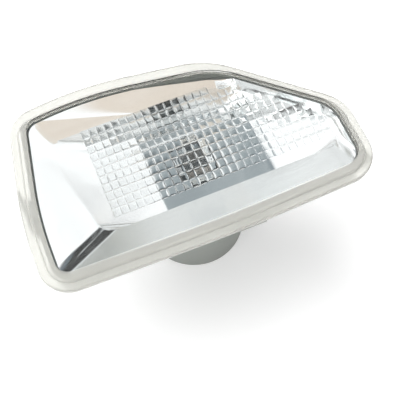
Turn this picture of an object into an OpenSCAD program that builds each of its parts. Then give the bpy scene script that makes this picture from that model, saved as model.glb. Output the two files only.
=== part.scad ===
// Side repeater lamp: clear lens with pillow optics, metallised reflector,
// moulded housing with a round boss, twist-in bulb holder and wedge-base bulb.
// Origin at the centre of the boss's end, +Z out of the lens, +X toward the narrow nose end.

/* [Outline of the lens rim] */
// Overall length of the rim
rim_l = 90.2; // [84:0.1:98]
// Overall height of the rim
rim_h = 52.8; // [50:0.1:56]
// Distance from the wide end to the boss axis
axis_from_end = 48; // [46:0.1:50]
// Distance from the lower edge to the boss axis
axis_from_low = 27.7; // [27:0.1:29]
// Height of the nose end
nose_h = 23.4; // [20:0.1:26]
// Length of the sloped edge along X
slope_run = 29.4; // [26:0.1:32]
// Fall of the upper edge toward the sloped edge
top_fall = 3.2; // [1:0.1:5]
// Bow of the lower edge
low_bow = 1.2; // [0.4:0.1:2]
// Lean of the wide end toward its upper corner
end_lean = 5.3; // [2:0.1:8]
// Height above the lower edge at which that lean starts
lean_from = 23.1; // [16:0.1:30]
// Radius of the lower corner at the wide end
low_r = 8; // [5:0.5:11]
// Radius of the lower corner at the nose
nose_low_r = 9; // [5:0.5:10]
// Radius where the nose meets the sloped edge
nose_top_r = 12; // [8:0.5:15]
// Radius where the sloped edge meets the upper edge
shoulder_r = 25; // [14:1:34]
// Radius of the upper corner at the wide end
top_r = 8; // [5:0.5:11]

/* [Lens] */
// Height of the lens's inner face above the boss's end
face_z = 53; // [52:0.1:57]
// Thickness of the lens face
face_t = 2; // [1.6:0.1:3]
// Thickness of the lip round the face
lip_t = 1.7; // [1.2:0.1:2.2]
// Width of the lip along the lower edge
lip_low = 1.9; // [1.2:0.1:2.6]
// Width of the lip at the nose
lip_nose = 2.2; // [1.2:0.1:2.6]
// Width of the lip along the sloped edge
lip_slope = 1.8; // [1.2:0.1:2.4]
// Width of the lip along the upper edge
lip_top = 3.6; // [2:0.1:4.5]
// Width of the lip at the wide end
lip_end = 2; // [1.2:0.1:2.8]
// Edge rounding of the face and of the lip
lens_r = 0.9; // [0.4:0.1:1.2]

/* [Pillow optics] */
// Width of one pillow
pillow_w = 2.1; // [1.8:0.05:3]
// Height of one pillow
pillow_h = 2.39; // [2:0.05:3]
// Depth of one pillow
pillow_d = 0.45; // [0.2:0.05:0.8]
// Gap from the window's edge to the pillows, seen square on
pillow_gap = 1.8; // [1:0.1:3]
// Distance from the window's wide end to the pillows' straight edge
pillow_end = 8.4; // [6:0.1:12]

/* [Reflector] */
// Margin from the rim to the metallised trim along the lower edge
trim_low = 4.6; // [4:0.1:5.4]
// The same margin at the nose
trim_nose = 3.6; // [3.4:0.1:4.4]
// The same margin along the sloped edge
trim_slope = 2.5; // [2.4:0.1:3.4]
// The same margin along the upper edge
trim_top = 5.9; // [5:0.1:6.6]
// The same margin at the wide end
trim_end = 4.5; // [4:0.1:5.4]
// Depth of the trim's outer edge below the lens's inner face
trim_drop = 0.8; // [0.3:0.1:1.5]
// Depth of the window's edge below the lens's inner face
window_drop = 3.4; // [2.5:0.1:4.5]
// Depth of the bowl's floor below the lens's inner face
bowl_drop = 13.5; // [12:0.1:15]
// Wall of the reflector
reflector_t = 1.3; // [1:0.1:1.6]
// Margin from the rim to the window along the lower edge
window_low = 13.3; // [12.6:0.1:14]
// The same margin at the nose
window_nose = 5.2; // [5.2:0.1:7]
// The same margin along the sloped edge
window_slope = 3.9; // [3.9:0.1:5]
// The same margin along the upper edge
window_top = 9.7; // [9.4:0.1:11]
// The same margin at the wide end
window_end = 13.4; // [12:0.1:15]
// Lean of the window's wide end toward its lower corner
window_lean = 4.4; // [1:0.1:7]
// Margin from the window's sloped edge to the bowl's flat floor
floor_slope = 3.4; // [2:0.1:5]
// Run along X of the flat floor's sloped edge
floor_run = 6; // [4:0.1:9]
// Distance from the boss axis to the floor's wide end
floor_x = 11.7; // [11:0.1:14]
// Radius of the hole for the bulb
bulb_hole_r = 5.6; // [5.3:0.1:6.5]

/* [Housing] */
// Wall of the housing
housing_t = 1.6; // [1.2:0.1:2]
// Wall round the reflector's trim, which the lens is welded onto
rim_wall = 1.2; // [1:0.1:1.2]
// Width of the ledge under the reflector's trim
ledge_w = 1; // [0.6:0.1:1.4]
// Height of the pan that carries the reflector's trim
pan_h = 5.2; // [4.5:0.1:6]
// Clearance between the reflector's bowl and the tub
tub_gap = 0.5; // [0.3:0.1:1]
// Outer radius of the boss
boss_r = 16; // [15.5:0.1:16.5]
// Length of the boss below its thicker root
boss_l = 31; // [29:0.5:32]
// Step from the boss out to its root
root_step = 0.8; // [0.4:0.1:1]
// Wall of the boss
boss_t = 2; // [1.5:0.1:2.4]
// Number of gussets round the boss
gussets = 4; // [3:1:6]
// Depth of the bayonet plate inside the boss
web_z = 14; // [13:0.1:18]
// Width of the hook at the nose
hook_w = 10; // [6:0.5:14]
// Reach of the hook past the pan
hook_reach = 1.8; // [1.3:0.1:2]
// Width of the locating rib under the lower edge
rib_w = 8.5; // [5:0.5:12]
// Reach of that rib past the pan
rib_reach = 1; // [0.6:0.1:1.6]
// Place of that rib along the lower edge
rib_x = 1.7; // [-6:0.1:8]
// Gap behind the lip for the body panel
panel_gap = 3; // [2.4:0.1:3.4]
// Height and reach of the gussets round the boss
gusset_h = 4; // [2:0.1:5]

/* [Retaining clip] */
// Width of the spring leaf
clip_w = 12; // [8:0.5:14]
// Thickness of the spring leaf
clip_t = 0.6; // [0.4:0.05:0.8]

/* [Bulb holder] */
// Radius of the neck that enters the housing
neck_r = 8.4; // [8:0.1:8.8]
// Running clearance round the neck
neck_gap = 0.3; // [0.2:0.05:0.5]
// Reach of the bayonet lugs past the neck
lug_reach = 2; // [1.4:0.1:2.2]
// Thickness of the bayonet lugs
lug_t = 1.5; // [1:0.1:1.6]
// Width of the bayonet lugs
lug_w = 5; // [4:0.1:6]
// Radius of the holder's flange
flange_r = 12.6; // [12:0.1:13]
// Thickness of the holder's flange
flange_t = 2; // [1.5:0.1:2.5]
// Thickness of the seal when fitted
seal_t = 2; // [1.5:0.1:2.4]
// Length of the plug socket, outside
shroud_l = 17; // [16.4:0.1:17.6]
// Height of the plug socket, outside
shroud_h = 13; // [12.6:0.1:13.4]
// Wall of the plug socket
shroud_t = 1.5; // [1.2:0.1:1.6]
// Depth of the plug socket
socket_d = 7.2; // [6:0.1:7.4]
// Setback of the plug socket from the boss's end
socket_back = 1; // [0.5:0.1:1.5]

/* [Terminals] */
// Thickness of the terminal strip
strip_t = 0.5; // [0.4:0.05:0.6]
// Height of each jaw
jaw_h = 5.4; // [4:0.1:6]
// Width of each jaw
jaw_w = 3.2; // [2.6:0.1:3.4]
// Width of each blade
blade_w = 2.8; // [2.2:0.1:3]
// Thickness of each blade
blade_t = 0.8; // [0.6:0.05:1]
// Distance between the two terminals
terminal_gap = 5.4; // [5:0.1:6]

/* [Bulb] */
// Radius of the glass
glass_r = 5; // [4.6:0.1:5.1]
// Overall length of the bulb
bulb_l = 26.8; // [25:0.1:28]
// Gap from the bulb's tip to the lens's inner face
tip_gap = 4.5; // [3:0.1:6]
// Height of the wedge base
wedge_h = 6.8; // [6:0.1:7.2]
// Width of the wedge base
wedge_w = 9.2; // [8.8:0.1:9.4]
// Thickness of the wedge base
wedge_t = 2.2; // [2:0.05:2.4]
// Glass wall
glass_t = 0.6; // [0.4:0.05:0.8]
// Radius of the lead wires
lead_r = 0.25; // [0.2:0.01:0.3]
// Clearance round the lead wires in the wedge
lead_fit = 0.05; // [0.03:0.01:0.1]
// Distance between the lead wires inside the glass
lead_gap = 4.6; // [4:0.1:5]
// Height of the filament above the wedge base
filament_h = 12; // [10:0.1:13]
// Turns of the filament
filament_turns = 7; // [4:1:8]
// Radius of the filament's coil
coil_r = 0.45; // [0.3:0.05:0.6]

/* [Hidden] */
$fn = 96;
eps = 0.01;

// Points taken by the arc at each corner, in the corners' order
arc_steps = [10, 2, 10, 8, 8, 3, 10, 5];

// Corner order of every outline: lower corner of the wide end, middle of the lower edge,
// lower corner of the nose, top of the nose, shoulder, middle of the upper edge,
// upper corner of the wide end, knee of the wide end. Each entry is [x, y, radius].
rim_x0 = -axis_from_end;
rim_x1 = rim_l - axis_from_end;
rim_y0 = -axis_from_low;
rim_y1 = rim_h - axis_from_low;
end_r = 100;
low_edge_r = 500;
top_edge_r = 200;
rim = [
    [rim_x0, rim_y0 + low_bow, low_r],
    [0, rim_y0, low_edge_r],
    [rim_x1, rim_y0 + low_bow, nose_low_r],
    [rim_x1, rim_y0 + nose_h, nose_top_r],
    [rim_x1 - slope_run, rim_y1 - top_fall, shoulder_r],
    [mix(rim_x0, rim_x1 - slope_run, 0.44), rim_y1, top_edge_r],
    [rim_x0 + end_lean, rim_y1 - 0.7, top_r],
    [rim_x0, rim_y0 + lean_from, end_r]];
face_margin = margins(lip_low, lip_nose, lip_slope, lip_top, lip_end);
trim_margin = margins(trim_low, trim_nose, trim_slope, trim_top, trim_end);

// The window keeps its own margins, and its sloped edge runs beside the rim's
window_x0 = rim_x0 + window_end;
window_x1 = rim_x1 - window_nose;
window_y0 = rim_y0 + window_low;
window_y1 = rim_y1 - window_top;
slope_start = [rim[3][0], rim[3][1]];
slope_way = unit([rim[4][0], rim[4][1]] - slope_start);
function on_slope(d, p, way) = meet(slope_start + left_of(slope_way) * d, slope_way, p, way);
function corner(p, r) = [p[0], p[1], r];
window_shoulder = on_slope(window_slope, [0, window_y1], [1, 0]);
window = [
    [window_x0 + window_lean, window_y0, 5],
    [mix(window_x0, window_x1, 0.55), window_y0 - 0.1, 500],
    [window_x1, window_y0, 4],
    corner(on_slope(window_slope, [window_x1, 0], [0, 1]), 4),
    corner(window_shoulder, 24),
    [mix(window_x0, window_shoulder[0], 0.505), window_y1 + 0.1, 200],
    [window_x0, window_y1, 2.5],
    [window_x0, mix(window_y0, window_y1, 0.65), 40]];
floor_draft = 0.7;
floor_y0 = window_y0 + floor_draft;
floor_y1 = window_y1 - 3;
floor_margin = window_slope + floor_slope;
floor_shoulder = on_slope(floor_margin, [0, floor_y1], [1, 0]);
floor_x1 = max(floor_shoulder[0] + floor_run, bulb_hole_r + reflector_t);
bowl_floor = [
    [-floor_x, floor_y0, 1.5],
    [0, floor_y0 - 0.05, 400],
    [floor_x1, floor_y0, 1.5],
    corner(on_slope(floor_margin, [floor_x1, 0], [0, 1]), 6),
    corner(floor_shoulder, 6),
    [mix(-floor_x, floor_shoulder[0], 0.56), floor_y1 + 0.05, 400],
    [-floor_x, floor_y1, 1.5],
    [-floor_x - 0.05, mix(floor_y0, floor_y1, 0.65), 200]];

// Heights
lens_top = face_z + face_t;
lip_top_z = lens_top - lens_r;
lip_back = lip_top_z - lip_t;
trim_z = face_z - trim_drop;
window_z = face_z - window_drop;
floor_z = face_z - bowl_drop;
ledge_z = trim_z - reflector_t;
pan_z = ledge_z - pan_h;
hook_z = lip_back - panel_gap;
tub_in = floor_z - reflector_t - tub_gap;
tub_z = tub_in - housing_t;
trim_gap = 0.1;

// Holder and bulb
flange_top = web_z - seal_t;
flange_end = flange_top - flange_t;
socket_top = socket_back + socket_d;
lug_z = web_z + housing_t + 0.1;
bulb_top = face_z - tip_gap;
bulb_end = bulb_top - bulb_l;
cup_d = 1.5;
wedge_top = bulb_end + wedge_h;
neck_top = wedge_top + cup_d;
cup_r = glass_r + 0.3;
pocket_gap = 0.15;
jaw_in = wedge_t / 2 + 2 * lead_r + 0.05;
jaw_out = jaw_in + strip_t;
jaw_end = bulb_end - 2 * lead_r - 0.1 - strip_t;

function margins(low, nose, slope, top, end) = [low, low, nose, slope, top, top, end, end];
function uniform(d) = margins(d, d, d, d, d);
function unit(v) = v / norm(v);
function left_of(v) = [-v[1], v[0]];
function cross2(a, b) = a[0] * b[1] - a[1] * b[0];

// Where the line through p along u meets the line through q along v
function meet(p, u, q, v) = p + u * cross2(q - p, v) / cross2(u, v);

// An outline's corners after each edge has moved inward by its own margin
function inset(c, d) = let (n = len(c)) [
    for (i = [0 : n - 1]) let (
        a = (i + n - 1) % n,
        b = (i + 1) % n,
        p = [c[i][0], c[i][1]],
        u = unit(p - [c[a][0], c[a][1]]),
        v = unit([c[b][0], c[b][1]] - p),
        q = meet(p + left_of(u) * d[a], u, p + left_of(v) * d[i], v)
    ) [q[0], q[1], max(c[i][2] - (d[a] + d[i]) / 2, 0.4)]];

// The points of an outline whose corners are rounded
function rounded(c) = let (n = len(c), t = [for (i = [0 : n - 1]) run(c, i)]) [
    for (i = [0 : n - 1]) let (
        p = at(c, i),
        u = unit(p - at(c, i - 1)),
        v = unit(at(c, i + 1) - p),
        turn = acos(u * v),
        share = min(1, room(c, t, i - 1), room(c, t, i)),
        r = c[i][2] * share,
        centre = p - u * t[i] * share + left_of(u) * r
    ) for (k = [0 : arc_steps[i]]) let (a = turn * k / arc_steps[i])
        centre + r * (-left_of(u) * cos(a) + u * sin(a))];

// A corner's place, its arc's run along each edge, and how much of two runs an edge has room for
function at(c, i) = let (q = c[(i + len(c)) % len(c)]) [q[0], q[1]];
function run(c, i) = let (
    u = unit(at(c, i) - at(c, i - 1)),
    v = unit(at(c, i + 1) - at(c, i))
) c[i][2] * tan(acos(u * v) / 2);
function room(c, t, i) = let (n = len(c), a = (i + n) % n, b = (i + 1) % n)
    norm(at(c, b) - at(c, a)) / (t[a] + t[b] + eps);

function mix(a, b, t) = a + (b - a) * t;
function ring(c, z) = [for (p = rounded(c)) [p[0], p[1], z]];
function level(c, d, z) = ring(inset(c, d), z);
function lift(points, dz) = [for (p = points) [p[0], p[1], p[2] + dz]];

// A solid through rings of equal count, closed by a flat cap at each end
module skin(rings) {
    n = len(rings[0]);
    m = len(rings);
    sides = [for (j = [0 : m - 2], i = [0 : n - 1]) let (
            a = j * n + i,
            b = j * n + (i + 1) % n
        ) each [[a, a + n, b], [b, a + n, b + n]]];
    first = [for (i = [1 : n - 2]) [0, i, i + 1]];
    last = [for (i = [1 : n - 2]) [(m - 1) * n, (m - 1) * n + i + 1, (m - 1) * n + i]];
    polyhedron(points = [for (r = rings) each r], faces = concat(first, sides, last), convexity = 6);
}

// A plate whose sides follow an outline
module plate(c, z0, z1) translate([0, 0, z0]) linear_extrude(z1 - z0) polygon(rounded(c));

// A strip of sheet metal bent along a line of [x, z] points, as wide as w along Y
function side_of(p, i) = let (
        a = unit(p[max(i, 1)] - p[max(i, 1) - 1]),
        b = unit(p[min(i + 1, len(p) - 1)] - p[min(i, len(p) - 2)]),
        m = unit(left_of(a) + left_of(b))
    ) m / (m * left_of(a));
module strip(p, t, w) {
    inner = [for (i = [0 : len(p) - 1]) p[i] + side_of(p, i) * t];
    rotate([90, 0, 0]) translate([0, 0, -w / 2]) linear_extrude(w)
        polygon(concat(p, [for (i = [len(p) - 1 : -1 : 0]) inner[i]]));
}

trim_edge = inset(rim, trim_margin);
wall_in = inset(trim_edge, uniform(-trim_gap));
wall_out = inset(wall_in, uniform(-rim_wall));
face_edge = inset(rim, face_margin);

// The ledge under the trim runs along the broad sides, and is left out at the nose and the slope
ledge_margin = margins(ledge_w, 0.2, 0.2, ledge_w, ledge_w);
seat_margin = [for (d = ledge_margin) d + 0.1];

module lens() {
    color([0.93, 0.95, 0.95, 0.35]) {
        skin([
            ring(wall_in, face_z),
            ring(wall_in, lip_back),
            level(rim, uniform(0.25), lip_back),
            level(rim, uniform(0), lip_back + 0.25),
            level(rim, uniform(0), lip_top_z - 0.6),
            level(rim, uniform(0.18), lip_top_z - 0.2),
            level(rim, uniform(0.6), lip_top_z),
            ring(face_edge, lip_top_z + 0.05),
            level(face_edge, uniform(0.12 * lens_r), lip_top_z + 0.5 * lens_r),
            level(face_edge, uniform(0.45 * lens_r), lip_top_z + 0.87 * lens_r),
            level(face_edge, uniform(lens_r), lens_top)]);
        pillows();
    }
}

// The pillow block: rounded cells clipped to the window's outline and to a straight edge
pillow_edge = inset(window, uniform(pillow_gap));
pillow_shape = [[0.5, 0], [0.27, 1]];
module pillow() {
    points = [for (s = pillow_shape, c = [[-1, -1], [1, -1], [1, 1], [-1, 1]])
        [c[0] * s[0] * pillow_w, c[1] * s[0] * pillow_h, -s[1] * pillow_d]];
    hull() polyhedron(points = points, faces = [[for (i = [0 : len(points) - 1]) i]]);
}
module pillows() {
    x1 = max([for (p = pillow_edge) p[0]]);
    y0 = min([for (p = pillow_edge) p[1]]);
    y1 = max([for (p = pillow_edge) p[1]]);
    intersection() {
        plate(pillow_edge, face_z - 2 * pillow_d, face_z + eps);
        for (x = [window_x0 + pillow_end + pillow_w / 2 : pillow_w : x1 + pillow_w / 2],
             y = [y0 + pillow_h / 2 : pillow_h : y1 + pillow_h / 2])
            translate([x, y, face_z + eps]) pillow();
    }
}

// Metallised moulding: sloped trim, window edge, bowl with wings and a hole for the bulb
bowl_levels = [0, 0.2, 0.5, 0.8, 1];
function bowl_ring(t, grow) = let (
        a = ring(inset(window, uniform(-grow)), window_z),
        b = ring(inset(bowl_floor, uniform(-grow)), floor_z)
    ) [for (i = [0 : len(a) - 1]) [mix(a[i][0], b[i][0], t), mix(a[i][1], b[i][1], t),
        mix(window_z, floor_z, 1 - pow(1 - t, 1.25))]];
module reflector() {
    color([0.86, 0.87, 0.88]) difference() {
        skin(concat(
            [for (i = [len(bowl_levels) - 1 : -1 : 0])
                lift(bowl_ring(bowl_levels[i], reflector_t), -reflector_t)],
            [level(trim_edge, seat_margin, ledge_z), ring(trim_edge, ledge_z), ring(trim_edge, trim_z)],
            [for (t = bowl_levels) bowl_ring(t, 0)]));
        translate([0, 0, floor_z - 2 * reflector_t]) cylinder(r = bulb_hole_r, h = 4 * reflector_t);
    }
}

// Moulded housing: pan under the trim, tub round the bowl, boss for the bulb holder
tub_out = inset(window, uniform(-(reflector_t + tub_gap + housing_t)));
tub_inner = inset(window, uniform(-(reflector_t + tub_gap)));
module housing() {
    color([0.56, 0.58, 0.59]) difference() {
        union() {
            plate(wall_out, pan_z, lip_back);
            intersection() {
                plate(tub_out, tub_z, pan_z + housing_t);
                plate(wall_out, tub_z - 1, pan_z + housing_t);
            }
            cylinder(r = boss_r, h = tub_in);
            translate([0, 0, boss_l]) cylinder(r = boss_r + root_step, h = tub_in - boss_l);
            hook();
            locating_rib();
            boss_gussets();
            clip_pad();
        }
        plate(wall_in, ledge_z, lip_back + eps);
        plate(inset(trim_edge, ledge_margin), pan_z + housing_t, ledge_z + eps);
        plate(tub_inner, tub_in, ledge_z + eps);
        translate([0, 0, web_z + housing_t]) cylinder(r = boss_r - boss_t, h = tub_in - web_z);
        translate([0, 0, -eps]) cylinder(r = boss_r - boss_t, h = web_z + eps);
        translate([0, 0, web_z - eps]) cylinder(r = neck_r + neck_gap, h = housing_t + 2 * eps);
        bayonet_slots();
    }
}
module bayonet_slots() {
    w = lug_w + 2 * neck_gap;
    for (a = [0, 120, 240]) rotate(a + 60) translate([0, -w / 2, web_z - eps])
        cube([neck_r + lug_reach + neck_gap, w, housing_t + 2 * eps]);
}

// Fixed catch under the nose, which goes behind the panel first
module hook() {
    x = max([for (p = wall_out) p[0]]);
    translate([0, rim_y0 + nose_h / 2, 0]) rotate([90, 0, 0]) translate([0, 0, -hook_w / 2])
        linear_extrude(hook_w) polygon([
            [x - rim_wall, pan_z - 0.5], [x + hook_reach - 1.2, pan_z - 0.5],
            [x + hook_reach, pan_z + 0.7], [x + hook_reach, hook_z], [x - rim_wall, hook_z]]);
}
module locating_rib() {
    y = rim_y0 + trim_low - trim_gap - rim_wall;
    translate([rib_x, y - rib_reach, pan_z]) cube([rib_w, rib_reach + rim_wall, hook_z - pan_z]);
}
module boss_gussets() {
    for (i = [0 : gussets - 1]) rotate(25 + i * 130 / (gussets - 1)) translate([0, housing_t / 2, 0])
        rotate([90, 0, 0]) linear_extrude(housing_t) polygon([
            [boss_r - boss_t / 2, tub_z + eps], [boss_r - boss_t / 2, tub_z - gusset_h],
            [boss_r + root_step + 0.4, tub_z - gusset_h], [boss_r + root_step + gusset_h, tub_z + eps]]);
}

// Flat pad on the tub that the spring leaf is fixed to
clip_x = min([for (p = tub_out) p[0]]) - 0.2;
clip_y = (rim_y0 + rim_y1) / 2;
pad_d = 8;
module clip_pad() {
    translate([clip_x, clip_y - clip_w / 2 - 0.5, tub_z])
        cube([pad_d, clip_w + 1, pan_z - tub_z + eps]);
}

// Spring leaf at the wide end, which grips behind the panel
module retaining_clip() {
    wall_x = min([for (p = wall_out) p[0]]) - clip_x - clip_t;
    color([0.72, 0.73, 0.74]) translate([clip_x, clip_y, 0]) strip([
        [0, pan_z - 0.3], [0, tub_z + 2.4], [-0.5, tub_z + 1], [-1.6, tub_z + 0.8],
        [-2.6, tub_z + 1.6], [wall_x - 0.4, pan_z - 0.6], [wall_x - 1.3, hook_z],
        [wall_x - 0.9, lip_back - 1.4]], -clip_t, clip_w);
}

// Bulb holder: stem with lugs, flange, plug socket, and the pockets for wedge and terminals
module bulb_holder() {
    color([0.3, 0.31, 0.32]) difference() {
        union() {
            translate([0, 0, flange_top - eps]) cylinder(r = neck_r, h = neck_top - flange_top + eps);
            translate([0, 0, flange_end]) cylinder(r = flange_r, h = flange_t);
            translate([-shroud_l / 2, -shroud_h / 2, socket_back])
                cube([shroud_l, shroud_h, flange_end - socket_back + eps]);
            bayonet_lugs();
        }
        translate([-shroud_l / 2 + shroud_t, -shroud_h / 2 + shroud_t, socket_back - eps])
            cube([shroud_l - 2 * shroud_t, shroud_h - 2 * shroud_t, socket_d + eps]);
        translate([0, 0, wedge_top]) cylinder(r = cup_r, h = neck_top - wedge_top + eps);
        translate([-wedge_w / 2 - pocket_gap, -wedge_t / 2 - pocket_gap, jaw_end - 0.1])
            cube([wedge_w + 2 * pocket_gap, wedge_t + 2 * pocket_gap, wedge_top - jaw_end + 1]);
        for (s = [-1, 1]) terminal_pocket(s);
    }
}
module bayonet_lugs() {
    for (a = [0, 120, 240]) rotate(a) intersection() {
        translate([0, -lug_w / 2, lug_z]) cube([neck_r + lug_reach + 1, lug_w, lug_t]);
        translate([0, 0, lug_z - eps]) cylinder(r = neck_r + lug_reach, h = lug_t + 2 * eps);
    }
}

// Room for one terminal: its jaws beside the wedge, and a slit down to the plug socket
module terminal_pocket(s) {
    translate([s * terminal_gap / 2 - jaw_w / 2 - 0.1, -jaw_out - 0.1, jaw_end - 0.1])
        cube([jaw_w + 0.2, 2 * jaw_out + 0.2, wedge_top - jaw_end + 0.1 + eps]);
    translate([s * terminal_gap / 2 - blade_w / 2 - 0.05, -blade_t / 2 - 0.05, socket_top - 1])
        cube([blade_w + 0.1, blade_t + 0.1, jaw_end - socket_top + 1]);
}

module holder_seal() {
    color([0.12, 0.12, 0.12]) translate([0, 0, flange_top]) difference() {
        cylinder(r = flange_r - 0.4, h = seal_t);
        translate([0, 0, -1]) cylinder(r = neck_r + 0.1, h = seal_t + 2);
    }
}

// One terminal: a pair of jaws round the wedge, joined under it, with a blade into the socket
module terminal(s) {
    blade_end = socket_back + 1;
    color([0.78, 0.66, 0.36]) translate([s * terminal_gap / 2, 0, 0]) {
        for (side = [0, 180]) rotate(side) translate([-jaw_w / 2, jaw_in, jaw_end])
            cube([jaw_w, strip_t, strip_t + jaw_h]);
        translate([-jaw_w / 2, -jaw_out, jaw_end]) cube([jaw_w, 2 * jaw_out, strip_t]);
        translate([-blade_w / 2, -blade_t / 2, blade_end])
            cube([blade_w, blade_t, jaw_end + eps - blade_end]);
    }
}
module terminal_left() terminal(-1);
module terminal_right() terminal(1);

// Glass capsule with a round top, closed onto its flat wedge base
dome_z = bulb_top - glass_r;
glass_base = 1.2;
cavity_z = wedge_top + glass_base;
module capsule(r, z0) {
    translate([0, z0]) square([r, dome_z - z0]);
    intersection() {
        translate([0, dome_z]) circle(r);
        translate([0, dome_z]) square(r + 1);
    }
}
module bulb_glass() {
    color([0.9, 0.95, 1, 0.3]) difference() {
        union() {
            rotate_extrude() capsule(glass_r, wedge_top);
            translate([-wedge_w / 2, -wedge_t / 2, bulb_end]) cube([wedge_w, wedge_t, wedge_h + eps]);
        }
        rotate_extrude() capsule(glass_r - glass_t, cavity_z);
        for (s = [-1, 1]) translate([s * lead_gap / 2, 0, bulb_end - 1])
            cylinder(r = lead_r + lead_fit, h = cavity_z - bulb_end + 1.1);
    }
}

// A lead wire: down from the filament through the wedge, under it and up its face
filament_z = wedge_top + filament_h;
lead_turn = 5;
module lead(s) {
    y = s * (wedge_t / 2 + lead_r);
    color([0.7, 0.7, 0.68]) translate([s * lead_gap / 2, 0, 0]) {
        translate([0, 0, bulb_end - lead_r]) cylinder(r = lead_r, h = filament_z - bulb_end + 2 * lead_r);
        translate([0, 0, bulb_end - lead_r]) rotate([-90 * s, 0, 0]) cylinder(r = lead_r, h = abs(y));
        translate([0, y, bulb_end - lead_r]) cylinder(r = lead_r, h = lead_turn);
        for (c = [0, y]) translate([0, c, bulb_end - lead_r]) sphere(r = lead_r);
    }
}
module lead_left() lead(-1);
module lead_right() lead(1);

// Glass bead that holds the two lead wires apart
module lead_bridge() {
    run = lead_gap - 2 * lead_r;
    color([0.88, 0.92, 0.95]) translate([-run / 2, 0, wedge_top + filament_h / 2]) rotate([0, 90, 0])
        cylinder(r = 0.8, h = run);
}

// Tungsten coil between the lead wires, swept along a helix with straight ends
wire_r = 0.09;
coil_steps = 10;
coil_tail = 0.5;
function helix_point(i) = let (
        n = filament_turns * coil_steps,
        run = lead_gap - 2 * lead_r - 2 * coil_tail
    ) [run * (i / n - 0.5), coil_r * sin(360 * i / coil_steps), coil_r * cos(360 * i / coil_steps) - coil_r];
module filament() {
    n = filament_turns * coil_steps;
    half = lead_gap / 2 - lead_r;
    path = concat([[-half, 0, 0]], [for (i = [0 : n]) helix_point(i)], [[half, 0, 0]]);
    along = [for (i = [0 : n + 2]) unit(path[min(i + 1, n + 2)] - path[max(i - 1, 0)])];
    color([0.55, 0.55, 0.56]) translate([0, 0, filament_z])
        skin([for (i = [0 : n + 2]) let (
                u = unit(cross(along[i], i == 0 || i == n + 2 ? [0, 1, 0] : [1, 0, 0])),
                u1 = norm(cross(along[i], [1, 0, 0])) < 0.01 ? [0, 0, 1] : unit([0, 0, 1] - along[i] * along[i][2]),
                v = cross(along[i], u1)
            ) [for (k = [0 : 5]) path[i] + wire_r * (u1 * cos(60 * k) + v * sin(60 * k))]]);
}

lens();
reflector();
housing();
retaining_clip();
bulb_holder();
holder_seal();
terminal_left();
terminal_right();
bulb_glass();
filament();
lead_left();
lead_right();
lead_bridge();
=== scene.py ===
"""Side repeater lamp: its visible lens, pillow optics, reflector, mouldings and bulb."""
import math

import bmesh
import bpy
from bpy.props import FloatProperty, IntProperty, PointerProperty, StringProperty
from mathutils import Matrix, Vector


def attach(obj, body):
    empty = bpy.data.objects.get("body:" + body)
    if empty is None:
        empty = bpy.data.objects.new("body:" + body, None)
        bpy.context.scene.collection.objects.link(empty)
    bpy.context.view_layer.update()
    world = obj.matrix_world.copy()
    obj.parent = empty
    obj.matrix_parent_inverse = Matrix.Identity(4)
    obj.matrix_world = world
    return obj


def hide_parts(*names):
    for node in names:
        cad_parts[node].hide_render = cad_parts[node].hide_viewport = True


bl_info = {
    "name": "Side Repeater Lamp",
    "version": (1, 0, 0),
    "blender": (4, 5, 0),
    "location": "View3D > Sidebar > Repeater",
    "description": "Builds the visible pieces of a side repeater lamp round its packed solids",
    "category": "Object",
}

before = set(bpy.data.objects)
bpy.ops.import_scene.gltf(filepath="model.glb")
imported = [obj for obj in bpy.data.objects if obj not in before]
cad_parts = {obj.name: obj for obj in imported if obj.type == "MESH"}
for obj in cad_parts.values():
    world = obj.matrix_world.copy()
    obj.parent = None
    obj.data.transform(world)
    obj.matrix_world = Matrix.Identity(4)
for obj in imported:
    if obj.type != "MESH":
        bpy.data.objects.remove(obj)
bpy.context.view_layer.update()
MM = 0.001


def linear(text):
    """An sRGB hex colour as linear red, green, blue and an alpha of 1."""
    parts = [int(text[i : i + 2], 16) / 255 for i in (1, 3, 5)]
    return [c / 12.92 if c <= 0.04045 else ((c + 0.055) / 1.055) ** 2.4 for c in parts] + [1.0]


def hex_colour(name, default):
    return StringProperty(name=name, description=f"{name}, as an sRGB hex value", default=default)


def size(name, text, default):
    """A size in millimetres."""
    return FloatProperty(name=name, description=text, default=default, min=0)


class RimSizes(bpy.types.PropertyGroup):
    """The outline of the lamp, which the lens and the reflector share."""

    length: size("Length", "Overall length of the rim, in mm", 90.2)
    height: size("Height", "Overall height of the rim, in mm", 52.8)
    from_end: size("From wide end", "Distance from the wide end to the boss axis, in mm", 48.0)
    from_low: size("From lower edge", "Distance from the lower edge to the boss axis, in mm", 27.7)
    nose: size("Nose height", "Height of the nose end, in mm", 23.4)
    slope: size("Slope run", "Length of the sloped edge along X, in mm", 29.4)
    crown: size("Crown", "Rise of the upper edge above the solids' own, in mm", 1.8)
    corner_steps: IntProperty(
        name="Corner steps", description="Points along each rounded corner", default=28, min=4)


class LensSizes(bpy.types.PropertyGroup):
    """The clear lens and its pillows."""

    face_z: size("Inner face", "Height of the lens's inner face, in mm", 53.0)
    face_t: size("Face thickness", "Thickness of the lens face, in mm", 2.0)
    lip_t: size("Lip thickness", "Thickness of the lip, in mm", 1.7)
    edge_r: size("Edge radius", "Edge rounding of the face, in mm", 0.9)
    pillow_w: size("Pillow width", "Width of one pillow, in mm", 2.1)
    pillow_h: size("Pillow height", "Height of one pillow, in mm", 2.39)
    pillow_d: size("Pillow depth", "Depth of one pillow, in mm", 0.22)
    pillow_p: FloatProperty(
        name="Pillow fullness", default=5.0,
        description="2 is a round crown, more is a flatter one")
    colour: hex_colour("Lens colour", "#fdfefe")
    flange: hex_colour("Flange colour", "#fdfdf8")


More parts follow.
